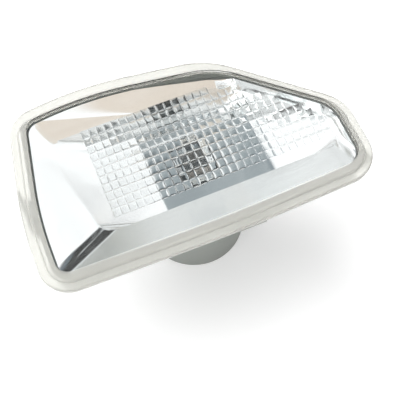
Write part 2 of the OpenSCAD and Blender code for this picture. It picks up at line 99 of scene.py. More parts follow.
class ReflectorSizes(bpy.types.PropertyGroup):
    """The metallised reflector. Its drops are measured from the lens's inner face."""

    trim_drop: size("Trim drop", "Depth of the trim's edge, in mm", 0.8)
    window_drop: size("Window drop", "Depth of the window's edge, in mm", 3.4)
    bowl_drop: size("Bowl drop", "Depth of the bowl's floor, in mm", 13.5)
    wall: size("Wall", "Wall of the reflector, in mm", 1.3)
    # The width of the dull grey band along the trim's edge: painted shade for the dark gap line at
    # the trim.
    painted_gap_band: size("Bare edge", "Width of the uncoated edge, in mm", 0.35)
    hole_r: size("Hole radius", "Radius of the hole for the bulb, in mm", 5.6)
    levels: IntProperty(name="Levels", description="Rings down the bowl", default=28, min=4)
    colour: hex_colour("Metal colour", "#f3f4f4")


class StageLook(bpy.types.PropertyGroup):
    """Floor, lights and surroundings."""

    floor_colour: hex_colour("Floor colour", "#f4f4f4")
    key_power: FloatProperty(
        name="Key power", description="Power of the key light", default=25, unit="POWER")
    fill_power: FloatProperty(
        name="Fill power", description="Power of the fill light", default=9, unit="POWER")
    world: FloatProperty(
        name="World strength", description="Strength of the even surrounding light", default=0.45)
    sheen: FloatProperty(
        name="Sheen", default=1.3,
        description="Brightness of the surroundings where they are mirrored")


def lamp(context):
    """The lamp's sizes and colours in the open scene."""
    return context.scene.repeater_lamp


# Outlines, in mm. A corner is x, y and radius, and the corners run anticlockwise from the
# lower corner of the wide end. The eight edges between them take a margin each.


def margins(low, nose, slope, top, end):
    """A margin for each edge, from one for each side of the lamp."""
    return [low, low, nose, slope, top, top, end, end]


def uniform(d):
    """The same margin for all eight edges."""
    return [d] * 8


# The rim: how far the lower edge bows, where the upper edge's corners stand, and the radii
LOWER_BOW = 1.2
SHOULDER_DROP = 3.2
CROWN_RUN = 26
TOP_END_RUN = 5.3
TOP_END_DROP = 0.7
WIDE_END_BEND = 23.1
RIM_RADII = (8, 500, 9, 12, 25, 100, 8, 100)

# Margins from the rim. The last is the trim of the solids, whose upper edge is lower.
FACE_MARGIN = margins(1.9, 2.2, 1.8, 3.1, 2)
TRIM_MARGIN = margins(4.6, 3.6, 2.5, 3.8, 4.5)
SOLID_TRIM_MARGIN = margins(4.6, 3.6, 2.5, 5.9, 4.5)

WINDOW = [
    (-30.2, -14.4, 5), (5, -14.5, 500), (37, -14.4, 4), (37, -4.8, 4),
    (14.1, 15.4, 24), (-10, 15.5, 200), (-34.6, 15.4, 2.5), (-34.6, 4.9, 40),
]
BOWL_FLOOR = [
    (-11.7, -13.7, 1.5), (0, -13.75, 400), (18.8, -13.7, 1.5), (18.8, 6.4, 6),
    (12.8, 12.4, 6), (2, 12.45, 400), (-11.7, 12.4, 1.5), (-11.75, 3.4, 200),
]

# The least radius, in mm, that an inset leaves at a corner, and the parts of a straight run
LEAST_RADIUS = 0.4
STRAIGHT_PARTS = 7


def inset(corners, d):
    """An outline's corners after each edge has moved inward by its own margin."""
    n = len(corners)
    out = []
    for i, (x, y, r) in enumerate(corners):
        a, b = (i - 1) % n, (i + 1) % n
        p = Vector((x, y))
        u = (p - Vector(corners[a][:2])).normalized()
        v = (Vector(corners[b][:2]) - p).normalized()
        pu = p + Vector((-u.y, u.x)) * d[a]
        pv = p + Vector((-v.y, v.x)) * d[i]
        k = (pv - pu).cross(v) / u.cross(v)
        q = pu + u * k
        out.append((q.x, q.y, max(r - (d[a] + d[i]) / 2, LEAST_RADIUS)))
    return out


def between(a, b):
    """The points that divide a straight run, without its ends."""
    return [a.lerp(b, k / STRAIGHT_PARTS) for k in range(1, STRAIGHT_PARTS)]


def rounded(corners, steps):
    """The points of an outline with rounded corners and a few points along each straight run."""
    n = len(corners)
    points = []
    for i, (x, y, r) in enumerate(corners):
        p = Vector((x, y))
        u = (p - Vector(corners[(i - 1) % n][:2])).normalized()
        v = (Vector(corners[(i + 1) % n][:2]) - p).normalized()
        turn = math.acos(max(-1, min(1, u.dot(v))))
        side = Vector((-u.y, u.x))
        centre = p - u * r * math.tan(turn / 2) + side * r
        if points:
            points += between(points[-1], centre - side * r)
        for k in range(steps + 1):
            t = turn * k / steps
            points.append(centre + (u * math.sin(t) - side * math.cos(t)) * r)
    return points + between(points[-1], points[0])


def rim_corners(s, raised=True):
    """The rim's corners, with its upper edge raised or as the solids have it."""
    x0, x1 = -s.from_end, s.length - s.from_end
    y0, y1 = -s.from_low, s.height - s.from_low
    rise = s.crown if raised else 0
    points = (
        (x0, y0 + LOWER_BOW), (0, y0), (x1, y0 + LOWER_BOW), (x1, y0 + s.nose),
        (x1 - s.slope, y1 - SHOULDER_DROP), (x0 + CROWN_RUN, y1 + rise),
        (x0 + TOP_END_RUN, y1 - TOP_END_DROP), (x0, y0 + WIDE_END_BEND),
    )
    return [(x, y, r) for (x, y), r in zip(points, RIM_RADII)]


def inside(outline, x, y):
    """Whether a point is in a convex outline that runs anticlockwise."""
    edges = zip(outline, outline[1:] + outline[:1])
    return all((b.x - a.x) * (y - a.y) - (b.y - a.y) * (x - a.x) >= 0 for a, b in edges)


def top_of(outline, x):
    """The highest y of an outline at x."""
    edges = zip(outline, outline[1:] + outline[:1])
    return max(a.y + (b.y - a.y) * (x - a.x) / (b.x - a.x)
               for a, b in edges if a.x != b.x and min(a.x, b.x) <= x <= max(a.x, b.x))


# Meshes


def ring(corners, z, steps):
    """A rounded outline's points at a height."""
    return [Vector((p.x, p.y, z)) for p in rounded(corners, steps)]


def skin(name, rings):
    """A mesh through rings of equal count, in metres, with a flat cap at each end."""
    n = len(rings[0])
    verts = [tuple(p * MM) for r in rings for p in r]
    faces = []
    for j in range(len(rings) - 1):
        for i in range(n):
            a, b = j * n + i, j * n + (i + 1) % n
            faces.append((a, a + n, b + n, b))
    faces.append(tuple(range(n)))
    faces.append(tuple(reversed(range((len(rings) - 1) * n, len(rings) * n))))
    mesh = bpy.data.meshes.new(name)
    mesh.from_pydata(verts, [], faces)
    return mesh


def quarter_turn(count):
    """Sine and cosine at equal steps over a quarter of a turn."""
    angles = (math.radians(90 / count * k) for k in range(count + 1))
    return [(math.sin(t), math.cos(t)) for t in angles]


def second_finish(piece, material, chosen):
    """Gives the faces that are chosen by centre (in mm) and normal a second material."""
    piece.data.materials.append(material)
    last = len(piece.data.materials) - 1
    for face in piece.data.polygons:
        if chosen(face.center / MM, face.normal):
            face.material_index = last


def place(name, mesh, material, smooth_angle=30, turn_out=True):
    """Puts a finished mesh in the scene, facing outwards and shaded smooth up to an angle."""
    bm = bmesh.new()
    bm.from_mesh(mesh)
    bmesh.ops.remove_doubles(bm, verts=bm.verts, dist=1e-7)
    if turn_out:
        bmesh.ops.recalc_face_normals(bm, faces=bm.faces)
    for f in bm.faces:
        f.smooth = True
    sharpest = math.radians(smooth_angle)
    for e in bm.edges:
        e.smooth = len(e.link_faces) == 2 and e.calc_face_angle(math.pi) < sharpest
    bm.to_mesh(mesh)
    bm.free()
    piece = bpy.data.objects.new(name, mesh)
    bpy.context.collection.objects.link(piece)
    mesh.materials.append(material)
    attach(piece, "root")
    return piece


# Materials


def add(tree, kind, links=None, **settings):
    """Adds one node, sets its properties and its inputs (as in_NAME), and links its inputs."""
    node = tree.nodes.new(kind)
    for key, value in settings.items():
        if key.startswith("in_"):
            socket = key[3:].replace("_", " ")
            node.inputs[int(socket) if socket.isdigit() else socket].default_value = value
        else:
            setattr(node, key, value)
    for target, source in (links or {}).items():
        tree.links.new(source, node.inputs[target])
    return node


def empty_tree(owner):
    """The cleared node tree of a material or a world."""
    owner.use_nodes = True
    owner.node_tree.nodes.clear()
    return owner.node_tree


# The part of the noise's range that runs from the smoother to the rougher finish
GRAIN_RANGE = (0.3, 0.7)


def finish_of(name, colour, bump_mm, grain_mm, rough, **shader):
    """A surface with a grain in its bump and its roughness. Sizes in millimetres."""
    material = bpy.data.materials.new(name)
    tree = empty_tree(material)
    spot = add(tree, "ShaderNodeTexCoord")
    grain = add(tree, "ShaderNodeTexNoise", {"Vector": spot.outputs["Object"]},
                in_Scale=1 / (grain_mm * MM), in_Detail=4.0, in_Roughness=0.6)
    worn = add(tree, "ShaderNodeMapRange", {"Value": grain.outputs["Fac"]},
               in_From_Min=GRAIN_RANGE[0], in_From_Max=GRAIN_RANGE[1],
               in_To_Min=rough[0], in_To_Max=rough[1])
    bump = add(tree, "ShaderNodeBump", {"Height": grain.outputs["Fac"]}, in_Distance=bump_mm * MM)
    links = {"Roughness": worn.outputs["Result"], "Normal": bump.outputs["Normal"]}
    surface = add(tree, "ShaderNodeBsdfPrincipled", links, in_Base_Color=linear(colour), **shader)
    add(tree, "ShaderNodeOutputMaterial", {"Surface": surface.outputs["BSDF"]})
    return material


def acrylic(colour):
    """Moulded PMMA: clear, IOR 1.49, polished, with the faint ripple of the mould."""
    return finish_of("moulded_clear_acrylic", colour, bump_mm=0.0008, grain_mm=9,
                     rough=(0.0, 0.02), in_IOR=1.49, in_Transmission_Weight=1.0)


def frosted_acrylic(colour):
    """The same acrylic on the weld flange, where a spark-eroded mould lets it scatter."""
    return finish_of("spark_eroded_acrylic", colour, bump_mm=0.004, grain_mm=0.6,
                     rough=(0.25, 0.4), in_IOR=1.49, in_Transmission_Weight=0.5)


def hazy_acrylic(colour):
    """The same acrylic at the lip and the rounded edge, slightly milky with flow marks."""
    return finish_of("flow_marked_acrylic", colour, bump_mm=0.001, grain_mm=3,
                     rough=(0.02, 0.08), in_IOR=1.49, in_Transmission_Weight=0.72)


def metallised(colour):
    """Vacuum-metallised plastic: bright as aluminium, with the slight haze of its lacquer."""
    return finish_of("vacuum_metallised_plastic", colour, bump_mm=0.004, grain_mm=5,
                     rough=(0.05, 0.09), in_Metallic=1.0)


def metallised_bowl(colour):
    """The same coating on the bowl, whose mould was only blasted: satin."""
    return finish_of("satin_metallised_plastic", colour, bump_mm=0.004, grain_mm=5,
                     rough=(0.1, 0.14), in_Metallic=1.0)


def painted_gap_band():
    """A dull grey band on the reflector's edge: painted shade for the dark gap line between the
    lens wall and the trim.
    """
    return finish_of("grey_plastic_painted_gap_shade", "#7d8280", bump_mm=0.01, grain_mm=0.4,
                     rough=(0.45, 0.6), in_IOR=1.53)


def grey_nylon():
    """Moulded grey nylon: dull, with the fine spark-eroded grain of its mould."""
    return finish_of("moulded_grey_nylon", "#949893", bump_mm=0.02, grain_mm=0.35,
                     rough=(0.5, 0.62), in_IOR=1.53)


def dark_nylon():
    """Glass-filled nylon: darker, with small fibre marks."""
    return finish_of("glass_filled_nylon", "#585c60", bump_mm=0.02, grain_mm=0.3,
                     rough=(0.45, 0.6), in_IOR=1.53)


def seal_rubber():
    """Moulded EPDM rubber: black and dull, with a little bloom."""
    return finish_of("moulded_epdm_rubber", "#1d1d1f", bump_mm=0.03, grain_mm=0.5,
                     rough=(0.7, 0.85), in_IOR=1.5)


def spring_steel():
    """Cold-rolled spring strip: grey metal with a satin rolled face."""
    return finish_of("rolled_spring_steel", "#b9bbbd", bump_mm=0.006, grain_mm=0.4,
                     rough=(0.24, 0.36), in_Metallic=1.0)


def brass():
    """Stamped brass strip: yellow metal, faintly dulled."""
    return finish_of("stamped_brass_strip", "#cdb271", bump_mm=0.004, grain_mm=0.5,
                     rough=(0.22, 0.34), in_Metallic=1.0)


def bulb_glass():
    """Soda-lime glass: clear and thin-walled."""
    return finish_of("blown_soda_lime_glass", "#fbfdfd", bump_mm=0.004, grain_mm=3,
                     rough=(0.0, 0.01), in_IOR=1.52, in_Transmission_Weight=1.0)


def bulb_wire():
    """Drawn nickel-iron wire: grey and slightly bright."""
    return finish_of("drawn_nickel_iron_wire", "#9b9a96", bump_mm=0.002, grain_mm=0.2,
                     rough=(0.3, 0.4), in_Metallic=1.0)


# The lens, in mm: gap from its lip to the trim, edge roundings and the step up to the face.
# The steps are the parts of each rounding.
LIP_GAP = 0.1
BACK_EDGE_R = 0.25
LIP_EDGE_R = 0.6
FACE_STEP = 0.05
BACK_STEPS = 4
EDGE_STEPS = 8

# The weld flange starts this far under the inner face, and its normals point down
FLANGE_DROP = 0.3
DOWNWARD = -0.5


class REPEATER_OT_lens(bpy.types.Operator):
    """Make the clear lens with its stepped, rounded rim"""

    bl_idname = "repeater.lens"
    bl_label = "Lens"

    def execute(self, context):
        s, rim = lamp(context).lens, lamp(context).rim
        outer = rim_corners(rim)
        face = inset(outer, FACE_MARGIN)
        clear = inset(outer, TRIM_MARGIN)
        wall = inset(clear, uniform(-LIP_GAP))
        top = s.face_z + s.face_t
        lip = top - s.edge_r
        back = lip - s.lip_t
        sides = [(wall, s.face_z), (wall, back), (inset(outer, uniform(BACK_EDGE_R)), back)]
        for sine, cosine in quarter_turn(BACK_STEPS)[1:]:
            outline = inset(outer, uniform(BACK_EDGE_R * (1 - sine)))
            sides.append((outline, back + BACK_EDGE_R * (1 - cosine)))
        for sine, cosine in quarter_turn(EDGE_STEPS):
            outline = inset(outer, uniform(LIP_EDGE_R * (1 - cosine)))
            sides.append((outline, lip - LIP_EDGE_R + LIP_EDGE_R * sine))
        for sine, cosine in quarter_turn(EDGE_STEPS):
            outline = inset(face, uniform(s.edge_r * (1 - cosine)))
            sides.append((outline, lip + FACE_STEP + (s.edge_r - FACE_STEP) * sine))
        # A ring in the flat face, so that its cap has straight normals up to the trim
        sides.append((clear, top))
        mesh = skin("lens_moulding", [ring(c, z, rim.corner_steps) for c, z in sides])
        piece = place("lens_moulding", mesh, acrylic(s.colour))

        flat = rounded(clear, rim.corner_steps)

        def is_flange(c, normal):
            return normal.z < DOWNWARD and c.z < s.face_z - FLANGE_DROP

        def is_rim(c, normal):
            return normal.z >= DOWNWARD and c.z > back and not inside(flat, c.x, c.y)

        second_finish(piece, frosted_acrylic(s.flange), is_flange)
        second_finish(piece, hazy_acrylic(s.flange), is_rim)
        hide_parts("lens")
        return {"FINISHED"}


# The pillow block, in mm: clear margin in the window, the first pillow's corner, the gap
# between pillows, the height of a pillow's straight sides and how far it sinks in the face
PILLOW_MARGIN = 1.0
PILLOW_START = (-26.2, -12.6)
PILLOW_GAP = 0.02
PILLOW_SIDE = 0.02
PILLOW_SINK = 0.015
PILLOW_ROWS, PILLOW_COLUMNS = 16, 40
PILLOW_POINTS = 8
PILLOW_WINDOW_STEPS = 16


def pillow_mesh(s):
    """One cushion-shaped pillow, centred, with its flat back at z = 0 and its crown below."""
    w, h = s.pillow_w - PILLOW_GAP, s.pillow_h - PILLOW_GAP
    n = PILLOW_POINTS
    # Closer together towards the edges, where the crown turns down
    spread = [math.sin(math.pi * (k / (n - 1) - 0.5)) for k in range(n)]
    bm = bmesh.new()

    def vertex(u, v, z):
        return bm.verts.new((u * w / 2 * MM, v * h / 2 * MM, z * MM))

    def crown(u, v):
        return -s.pillow_d * (1 - abs(u) ** s.pillow_p) * (1 - abs(v) ** s.pillow_p) - PILLOW_SIDE

    grid = [[vertex(u, v, crown(u, v)) for u in spread] for v in spread]
    back = [vertex(u, v, 0) for u, v in ((-1, -1), (1, -1), (1, 1), (-1, 1))]
    for j in range(n - 1):
        for i in range(n - 1):
            bm.faces.new((grid[j][i], grid[j + 1][i], grid[j + 1][i + 1], grid[j][i + 1]))
    bm.faces.new(back)
    left, right = [row[0] for row in grid], [row[-1] for row in grid]
    for k, side in enumerate((grid[0], right, grid[-1][::-1], left[::-1])):
        bm.faces.new([back[k]] + side + [back[(k + 1) % 4]])
    bmesh.ops.recalc_face_normals(bm, faces=bm.faces)
    mesh = bpy.data.meshes.new("pillow")
    bm.to_mesh(mesh)
    bm.free()
    return mesh


def pillow_points(s):
    """The places of the pillows that lie whole in the window, in metres."""
    window = rounded(inset(WINDOW, uniform(PILLOW_MARGIN)), PILLOW_WINDOW_STEPS)
    points = []
    for j in range(PILLOW_ROWS):
        for i in range(PILLOW_COLUMNS):
            x = PILLOW_START[0] + (i + 0.5) * s.pillow_w
            y = PILLOW_START[1] + (j + 0.5) * s.pillow_h
            if all(inside(window, x + a * s.pillow_w / 2, y + b * s.pillow_h / 2)
                   for a in (-1, 1) for b in (-1, 1)):
                points.append((x * MM, y * MM, (s.face_z - PILLOW_SINK) * MM))
    return points


def pillow_tree(material):
    """A node group that sets one pillow on every point of a grid of points."""
    tree = bpy.data.node_groups.new("pillow_block", "GeometryNodeTree")
    face = tree.interface
    face.new_socket("Points", in_out="INPUT", socket_type="NodeSocketGeometry")
    face.new_socket("Pillow", in_out="INPUT", socket_type="NodeSocketObject")
    face.new_socket("Scale", in_out="INPUT", socket_type="NodeSocketFloat")
    face.new_socket("Geometry", in_out="OUTPUT", socket_type="NodeSocketGeometry")
    start = add(tree, "NodeGroupInput")
    one = add(tree, "GeometryNodeObjectInfo", {"Object": start.outputs["Pillow"]})
    spread = add(tree, "GeometryNodeInstanceOnPoints", {
        "Points": start.outputs["Points"], "Instance": one.outputs["Geometry"],
        "Scale": start.outputs["Scale"]})
    real = add(tree, "GeometryNodeRealizeInstances", {"Geometry": spread.outputs["Instances"]})
    clad = add(tree, "GeometryNodeSetMaterial", {"Geometry": real.outputs["Geometry"]},
               in_Material=material)
    add(tree, "NodeGroupOutput", {"Geometry": clad.outputs["Geometry"]})
    return tree


class REPEATER_OT_pillows(bpy.types.Operator):
    """Set the rows of pillow optics on the lens's inner face"""

    bl_idname = "repeater.pillows"
    bl_label = "Pillow Optics"

    def execute(self, context):
        s = lamp(context).lens
        cloud = bpy.data.meshes.new("pillow_points")
        cloud.from_pydata(pillow_points(s), [], [])
        holder = bpy.data.objects.new("pillow_points", cloud)
        single = bpy.data.objects.new("pillow", pillow_mesh(s))
        for o in (holder, single):
            context.collection.objects.link(o)
        material = bpy.data.materials.get("moulded_clear_acrylic") or acrylic(s.colour)
        tree = pillow_tree(material)
        ids = {i.name: i.identifier for i in tree.interface.items_tree if i.in_out == "INPUT"}
        modifier = holder.modifiers.new("pillows", "NODES")
        modifier.node_group = tree
        modifier[ids["Pillow"]] = single
        modifier[ids["Scale"]] = 1.0
        depsgraph = context.evaluated_depsgraph_get()
        mesh = bpy.data.meshes.new_from_object(holder.evaluated_get(depsgraph))
        holder.modifiers.remove(modifier)
        for o in (holder, single):
            bpy.data.objects.remove(o)
        if not mesh.polygons:
            raise RuntimeError("the pillow block came out empty")
        mesh.materials.clear()
        piece = place("pillow_optics", mesh, material, smooth_angle=40)
        piece.visible_glossy = False
        return {"FINISHED"}


# The reflector, in mm: rise of its edge, how far down its grey band of painted gap shade reaches,
# the satin bowl's start under the window's edge, the margins of its seat and the drill for its
# hole.
# The bowl's curve is 1 for a straight side.
EDGE_RISE = 0.12
GAP_SHADE_DEPTH = 0.2
SATIN_DROP = 0.3
BOWL_CURVE = 1.25
SEAT_MARGIN = margins(1.1, 0.3, 0.3, 1.1, 1.1)
DRILL_LENGTH = 8
HOLE_SIDES = 96


def bowl_rings(s, face_z, steps, thick=0):
    """Rings from the window's edge down to the bowl's floor, moved out and down by a wall."""
    window = rounded(inset(WINDOW, uniform(-thick)), steps)
    floor = rounded(inset(BOWL_FLOOR, uniform(-thick)), steps)
    high, low = face_z - s.window_drop, face_z - s.bowl_drop
    rings = []
    for k in range(s.levels + 1):
        t = k / s.levels
        z = high + (low - high) * (1 - (1 - t) ** BOWL_CURVE) - thick
        rings.append([Vector((*p.lerp(q, t), z)) for p, q in zip(window, floor)])
    return rings


def drill(piece, radius, z):
    """Cuts a round hole along Z through a piece, at a height in mm."""
    bm = bmesh.new()
    bmesh.ops.create_cone(
        bm, cap_ends=True, segments=HOLE_SIDES, radius1=radius * MM, radius2=radius * MM,
        depth=DRILL_LENGTH * MM, matrix=Matrix.Translation((0, 0, z * MM)))
    mesh = bpy.data.meshes.new("hole")
    bm.to_mesh(mesh)
    bm.free()
    tool = bpy.data.objects.new("hole", mesh)
    bpy.context.collection.objects.link(tool)
    cut = piece.modifiers.new("hole", "BOOLEAN")
    cut.object = tool
    cut.operation = "DIFFERENCE"
    depsgraph = bpy.context.evaluated_depsgraph_get()
    made = bpy.data.meshes.new_from_object(piece.evaluated_get(depsgraph))
    piece.modifiers.remove(cut)
    bpy.data.objects.remove(tool)
    piece.data = made


class REPEATER_OT_reflector(bpy.types.Operator):
    """Make the metallised reflector: trim, window edge and bowl"""

    bl_idname = "repeater.reflector"
    bl_label = "Reflector"

    def execute(self, context):
        s, rim = lamp(context).reflector, lamp(context).rim
        face_z = lamp(context).lens.face_z
        steps = rim.corner_steps
        trim = inset(rim_corners(rim), TRIM_MARGIN)
        # The outline inside the grey band along the edge, which is painted shade for the dark gap
        # line
        coated = inset(trim, uniform(s.painted_gap_band))
        seat = inset(trim, SEAT_MARGIN)
        high = face_z - s.trim_drop
        low = high - s.wall
        sides = ((coated, high - EDGE_RISE), (trim, high), (trim, low), (seat, low))
        rings = bowl_rings(s, face_z, steps)[::-1]
        rings += [ring(c, z, steps) for c, z in sides]
        rings += bowl_rings(s, face_z, steps, thick=s.wall)
        mesh = skin("reflector_moulding", rings)
        coating = metallised(s.colour)
        piece = place("reflector_moulding", mesh, coating, smooth_angle=35)
        drill(piece, s.hole_r, face_z - s.bowl_drop)

        bright = rounded(coated, steps)

        def is_bowl(c, normal):
            return c.z < face_z - s.window_drop - SATIN_DROP

        # The grey band along the trim's edge: painted shade for the dark gap line between the lens
        # wall and the trim
        def is_gap_shade(c, normal):
            return c.z > high - GAP_SHADE_DEPTH and not inside(bright, c.x, c.y)

        second_finish(piece, metallised_bowl(s.colour), is_bowl)
        second_finish(piece, painted_gap_band(), is_gap_shade)
        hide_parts("reflector")
        return {"FINISHED"}


# A copied solid: what is merged, in metres, the angle under which faces are one flat, and
# the angle from which an edge is rounded, in degrees
MERGE_DISTANCE = 2e-6
FLAT_ANGLE = 1.0
ROUND_FROM = 40


def merged_copy(node, name, material, bevel_mm):
    """A piece with a node's own shape, its triangles joined and its edges slightly rounded."""
    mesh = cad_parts[node].data.copy()
    mesh.name = name
    mesh.materials.clear()
    bm = bmesh.new()
    bm.from_mesh(mesh)
    bmesh.ops.remove_doubles(bm, verts=bm.verts, dist=MERGE_DISTANCE)
    bmesh.ops.dissolve_limit(
        bm, angle_limit=math.radians(FLAT_ANGLE), verts=bm.verts, edges=bm.edges)
    bm.to_mesh(mesh)
    bm.free()
    piece = place(name, mesh, material, turn_out=False)
    if bevel_mm:
        soften = piece.modifiers.new("moulded_edges", "BEVEL")
        soften.width = bevel_mm * MM
        soften.segments = 2
        soften.limit_method = "ANGLE"
        soften.angle_limit = math.radians(ROUND_FROM)
    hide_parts(node)
    return piece


# The part of the housing that follows the raised upper edge, in mm
UPPER_WALL_Z = 45
UPPER_WALL_Y = 15.5
UPPER_WALL_X = (-36, 14)
UPPER_WALL_RAMP = 3


def raise_upper_wall(piece, rim):
    """Moves the wall along the upper edge out by as much as the trim is raised there."""
    solid = rounded(inset(rim_corners(rim, raised=False), SOLID_TRIM_MARGIN), rim.corner_steps)
    raised = rounded(inset(rim_corners(rim), TRIM_MARGIN), rim.corner_steps)
    for v in piece.data.vertices:
        x, y, z = v.co / MM
        if z > UPPER_WALL_Z and y > UPPER_WALL_Y:
            x = min(max(x, UPPER_WALL_X[0]), UPPER_WALL_X[1])
            share = min((y - UPPER_WALL_Y) / UPPER_WALL_RAMP, 1)
            v.co.y += (top_of(raised, x) - top_of(solid, x)) * share * MM


class REPEATER_OT_housing(bpy.types.Operator):
    """Dress the grey housing with its boss"""

    bl_idname = "repeater.housing"
    bl_label = "Housing"

    def execute(self, context):
        piece = merged_copy("housing", "housing_moulding", grey_nylon(), 0.15)
        raise_upper_wall(piece, lamp(context).rim)
        return {"FINISHED"}


class REPEATER_OT_clip(bpy.types.Operator):
    """Dress the spring leaf"""

    bl_idname = "repeater.clip"
    bl_label = "Retaining Clip"

    def execute(self, context):
        merged_copy("retaining_clip", "spring_leaf", spring_steel(), 0.08)
        return {"FINISHED"}


class REPEATER_OT_holder(bpy.types.Operator):
    """Dress the bulb holder, its seal and its terminals"""

    bl_idname = "repeater.holder"
    bl_label = "Bulb Holder"

    def execute(self, context):
        merged_copy("bulb_holder", "holder_moulding", dark_nylon(), 0.12)
        merged_copy("holder_seal", "seal_ring", seal_rubber(), 0.2)
        strip = brass()
        for side in ("left", "right"):
            merged_copy(f"terminal_{side}", f"blade_{side}", strip, 0.05)
        return {"FINISHED"}


class REPEATER_OT_bulb(bpy.types.Operator):
    """Dress the wedge-base bulb"""

    bl_idname = "repeater.bulb"
    bl_label = "Bulb"

    def execute(self, context):
        glass, wire = bulb_glass(), bulb_wire()
        merged_copy("bulb_glass", "bulb_envelope", glass, 0)
        merged_copy("lead_bridge", "bulb_bead", glass, 0.15)
        for node in ("filament", "lead_left", "lead_right"):
            merged_copy(node, f"bulb_{node}", wire, 0)
        return {"FINISHED"}


# The camera, worked out from the pillow grid: its place, its axes, and its focal length and
# sensor width. All lengths in mm.
CAMERA_PLACE = (-33.398, -83.126, 218.712)
CAMERA_RIGHT = (0.92158796, -0.38816199, 0.00242775)
CAMERA_UP = (0.35437334, 0.84388526, 0.40283644)
CAMERA_BACK = (-0.15841453, -0.37038889, 0.91526876)
CAMERA_FOCAL = 64.8
CAMERA_SENSOR = 36

# The points that the cards and the lights face, in mm
CARD_AIM = (0, 4, 45)
NEAR_AIM = (0, 12, 40)
LIGHT_AIM = (0, 0, 40)

# The lights' distance and width, in metres: they stand behind the cards
LIGHT_DISTANCE = 1.6
LIGHT_WIDTH = 1.5

# Half the floor's width, in metres, and how much brighter it shows than its own light makes it
FLOOR_HALF = 3
FLOOR_LIFT = 0.28


def sheet(name, corners, material):
    """A four-cornered sheet for the floor or a card."""
    mesh = bpy.data.meshes.new(name)
    mesh.from_pydata([tuple(c) for c in corners], [], [(0, 1, 2, 3)])
    mesh.materials.append(material)
    piece = bpy.data.objects.new(name, mesh)
    bpy.context.collection.objects.link(piece)
    return piece


def card(name, towards, distance, width, height, material, turn=0, aim=CARD_AIM):
    """A flat card that faces the lamp from a direction. Sizes in metres, turn in degrees."""
    d = Vector(towards).normalized()
    centre = Vector(aim) * MM + d * distance
    side = Vector((1, 0, 0)) - d * d.x
    side.normalize()
    up = d.cross(side)
    swing = Matrix.Rotation(math.radians(turn), 3, d)
    side, up = swing @ side * width / 2, swing @ up * height / 2
    corners = (centre - side - up, centre + side - up, centre + side + up, centre - side + up)
    piece = sheet(name, corners, material)
    layer = piece.data.uv_layers.new(name="card")
    for loop, uv in enumerate(((0, 0), (1, 0), (1, 1), (0, 1))):
        layer.data[loop].uv = uv
    piece.visible_camera = False
    piece.visible_diffuse = False
    piece.visible_shadow = False


def edge_fade(tree, coordinate, soft):
    """Nought at both ends of a 0 to 1 coordinate and one from `soft` inwards."""
    off = add(tree, "ShaderNodeMath", {0: coordinate}, operation="SUBTRACT", in_1=0.5)
    far = add(tree, "ShaderNodeMath", {0: off.outputs[0]}, operation="ABSOLUTE")
    fade = add(tree, "ShaderNodeMapRange", {"Value": far.outputs[0]},
               interpolation_type="SMOOTHSTEP", in_From_Min=0.5, in_From_Max=0.5 - soft)
    return fade.outputs[0]


def glow(name, left, right, soft):
    """A card's glow: one tone that runs into another, with soft borders that fade to nothing."""
    material = bpy.data.materials.new(name)
    tree = empty_tree(material)
    spot = add(tree, "ShaderNodeUVMap", uv_map="card")
    axes = add(tree, "ShaderNodeSeparateXYZ", {"Vector": spot.outputs["UV"]})
    tone = add(tree, "ShaderNodeMix", {"Factor": axes.outputs["X"]},
               data_type="RGBA", in_A=linear(left), in_B=linear(right))
    fades = [edge_fade(tree, axes.outputs[axis], soft) for axis in "XY"]
    cover = add(tree, "ShaderNodeMath", dict(enumerate(fades)), operation="MULTIPLY")
    clear = add(tree, "ShaderNodeBsdfTransparent")
    light = add(tree, "ShaderNodeEmission", {"Color": tone.outputs["Result"]})
    both = add(tree, "ShaderNodeMixShader", {
        0: cover.outputs[0], 1: clear.outputs[0], 2: light.outputs[0]})
    add(tree, "ShaderNodeOutputMaterial", {"Surface": both.outputs[0]})
    return material


def seen_directly(tree):
    """One for what is seen straight, in a gloss or through glass, and nought for diffuse light."""
    path = add(tree, "ShaderNodeLightPath")
    seen = add(tree, "ShaderNodeMath", {
        0: path.outputs["Is Camera Ray"], 1: path.outputs["Is Glossy Ray"]}, operation="MAXIMUM")
    through = add(tree, "ShaderNodeMath", {
        0: seen.outputs[0], 1: path.outputs["Is Transmission Ray"]}, operation="MAXIMUM")
    return through.outputs[0]


def paper_floor(colour):
    """Matt paper: pale, and shown a little brighter to the eye, so that only its shadow is grey."""
    material = bpy.data.materials.new("matt_paper")
    tree = empty_tree(material)
    lift = add(tree, "ShaderNodeMath", {0: seen_directly(tree)},
               operation="MULTIPLY", in_1=FLOOR_LIFT)
    matt = add(tree, "ShaderNodeBsdfDiffuse", in_Color=linear(colour))
    bright = add(tree, "ShaderNodeEmission", {"Strength": lift.outputs[0]}, in_Color=(1, 1, 1, 1))
    both = add(tree, "ShaderNodeAddShader", {0: matt.outputs[0], 1: bright.outputs[0]})
    add(tree, "ShaderNodeOutputMaterial", {"Surface": both.outputs[0]})
    return material


def studio_world(s):
    """An even white surrounding, brighter where it is mirrored than it lights the lamp."""
    world = bpy.data.worlds.new("studio")
    tree = empty_tree(world)
    level = add(tree, "ShaderNodeMapRange", {"Value": seen_directly(tree)},
                in_To_Min=s.world, in_To_Max=s.sheen)
    sky = add(tree, "ShaderNodeBackground", {"Strength": level.outputs[0]}, in_Color=(1, 1, 1, 1))
    add(tree, "ShaderNodeOutputWorld", {"Surface": sky.outputs[0]})
    return world


def area_light(name, towards, power, through_glass):
    """A square light that faces the lamp and that no gloss shows."""
    d = Vector(towards).normalized()
    data = bpy.data.lights.new(name, "AREA")
    data.shape = "SQUARE"
    data.size = LIGHT_WIDTH
    data.energy = power
    light = bpy.data.objects.new(name, data)
    light.location = Vector(LIGHT_AIM) * MM + d * LIGHT_DISTANCE
    light.rotation_euler = d.to_track_quat("Z", "Y").to_euler()
    light.visible_glossy = False
    light.visible_transmission = through_glass
    bpy.context.collection.objects.link(light)


